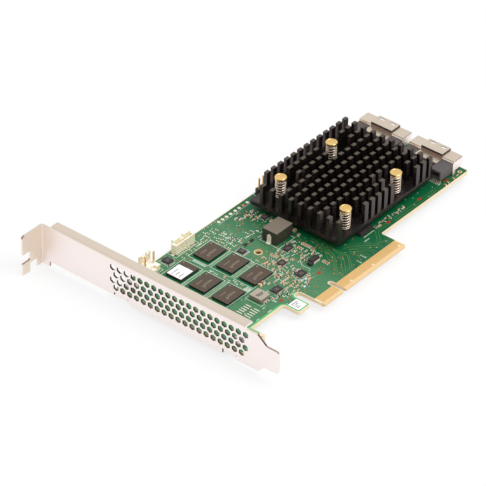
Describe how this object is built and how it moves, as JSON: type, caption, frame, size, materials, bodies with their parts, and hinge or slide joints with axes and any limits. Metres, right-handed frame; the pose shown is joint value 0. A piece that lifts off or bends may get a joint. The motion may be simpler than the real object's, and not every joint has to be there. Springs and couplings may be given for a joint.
{
  "type": "raid controller card",
  "caption": "Plug-in drive controller board with a pin-fin heat sink on sprung pins, a perforated end bracket, shelled drive ports at the rear and a keyed contact edge",
  "frame": {"origin": "Centre of the key notch, on the outer line of the contact edge, at the component surface of the board", "axes": "+X runs along the board from the bracket to the drive ports, +Y from the contact edge to the top edge, +Z out of the component side; the card leaves its socket along +Y"},
  "size_m": [0.1689, 0.1209, 0.0197],
  "materials": {
    "board_laminate": "satin solder mask over glass laminate",
    "gold_plating": "gold plated copper",
    "plated_steel": "bright nickel plated sheet",
    "screw_steel": "zinc plated",
    "black_anodised": "black anodised, matte",
    "turned_brass": "bright turned brass",
    "spring_steel": "bright wire",
    "chip_carrier": "green carrier laminate",
    "chip_silicon": "polished",
    "thermal_filler": "soft grey",
    "moulding_compound": "matte black epoxy",
    "white_label": "paper",
    "ferrite_core": "pressed grey powder",
    "choke_core": "pressed grey powder, satin",
    "tinned_copper": "tinned",
    "ivory_nylon": "ivory moulding",
    "black_nylon": "black moulding",
    "grey_nylon": "dark grey moulding",
    "ceramic_body": "fired ceramic with tinned ends",
    "resistor_film": "black film with tinned ends",
    "lamp_resin": "clear resin"
  },
  "bodies": {
    "root": {"circuit_board": "board_laminate", "edge_contacts": "gold_plating", "io_bracket": "plated_steel", "bracket_screws": "screw_steel", "controller_substrate": "chip_carrier", "controller_die": "chip_silicon", "thermal_pad": "thermal_filler", "heat_sink": "black_anodised", "push_pins": "turned_brass", "memory_label": "white_label", "hook_label": "white_label", "tall_inductor_core": "ferrite_core", "tall_inductor_clips": "tinned_copper", "flat_inductor_core": "choke_core", "flat_inductor_pads": "tinned_copper", "sense_header": "ivory_nylon", "sense_header_leads": "tinned_copper", "lock_header": "ivory_nylon", "lock_header_pins": "gold_plating", "jumper_header_base": "black_nylon", "jumper_header_pins": "gold_plating", "flash_memory": "moulding_compound", "level_shifter": "moulding_compound", "clock_chip": "moulding_compound", "core_regulator": "moulding_compound", "memory_regulator": "moulding_compound", "supply_monitor": "moulding_compound", "standby_regulator": "moulding_compound", "sensor_chip": "moulding_compound", "switch_driver": "moulding_compound", "power_diode": "moulding_compound", "signal_diodes": "moulding_compound", "ceramic_capacitors": "ceramic_body", "chip_resistors": "resistor_film", "indicator_lamps": "lamp_resin", "pin_spring_1": "spring_steel", "pin_spring_2": "spring_steel", "pin_spring_3": "spring_steel", "pin_spring_4": "spring_steel", "memory_chip_1": "moulding_compound", "memory_chip_2": "moulding_compound", "memory_chip_3": "moulding_compound", "memory_chip_4": "moulding_compound", "memory_chip_5": "moulding_compound", "memory_chip_6": "moulding_compound", "port_shell_1": "plated_steel", "port_housing_1": "grey_nylon", "port_contacts_1": "tinned_copper", "port_shell_2": "plated_steel", "port_housing_2": "grey_nylon", "port_contacts_2": "tinned_copper"}
  },
  "joints": []
}
